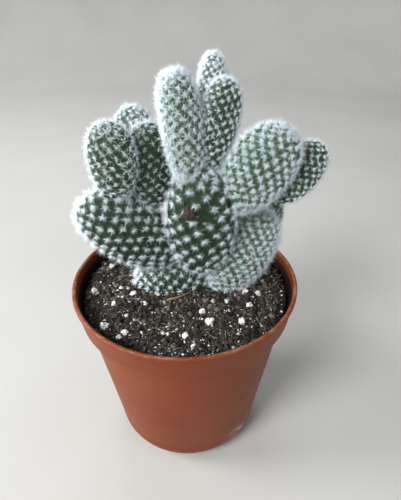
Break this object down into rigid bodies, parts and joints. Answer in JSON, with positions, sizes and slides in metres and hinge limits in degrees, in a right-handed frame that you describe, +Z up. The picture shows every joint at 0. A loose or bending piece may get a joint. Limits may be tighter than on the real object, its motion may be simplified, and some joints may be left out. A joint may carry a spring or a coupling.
{
  "type": "potted paddle cactus",
  "caption": "Bunny-ears cactus of oval pads with white bristle tufts, growing in potting soil in a terracotta-coloured plastic nursery pot.",
  "frame": {"origin": "centre of the pot's underside, on the surface it stands on", "axes": "+Z up; the pads' flat sides face -Y and +Y; +X to the right as seen from the front (-Y)"},
  "size_m": [0.1104, 0.105, 0.19],
  "materials": {
    "pot_plastic": "satin terracotta-coloured polypropylene",
    "potting_soil": null,
    "old_pad_skin": null,
    "young_pad_skin": null,
    "bristles": "white translucent bristles in star-shaped tufts",
    "root_bark": "dull corky root",
    "perlite": "porous white grains",
    "straw": "dry light brown straw",
    "withered_bud": "dry brown flower bud"
  },
  "bodies": {
    "root": {"pot": "pot_plastic", "soil": "potting_soil", "pad_base": "old_pad_skin", "pad_left_low": "old_pad_skin", "pad_left_mid": "old_pad_skin", "pad_left_inner": "old_pad_skin", "pad_left_back": "old_pad_skin", "pad_centre": "old_pad_skin", "pad_top_left": "young_pad_skin", "pad_top_back": "old_pad_skin", "pad_top_right": "old_pad_skin", "pad_right": "young_pad_skin", "pad_right_back": "old_pad_skin", "pad_right_low_back": "young_pad_skin", "pad_right_low": "young_pad_skin", "roots": "root_bark", "perlite_01": "perlite", "perlite_02": "perlite", "perlite_03": "perlite", "perlite_04": "perlite", "perlite_05": "perlite", "perlite_06": "perlite", "perlite_07": "perlite", "perlite_08": "perlite", "perlite_09": "perlite", "perlite_10": "perlite", "perlite_11": "perlite", "perlite_12": "perlite", "perlite_13": "perlite", "perlite_14": "perlite", "perlite_15": "perlite", "perlite_16": "perlite", "straw": "straw", "withered_bud": "withered_bud"}
  },
  "joints": []
}
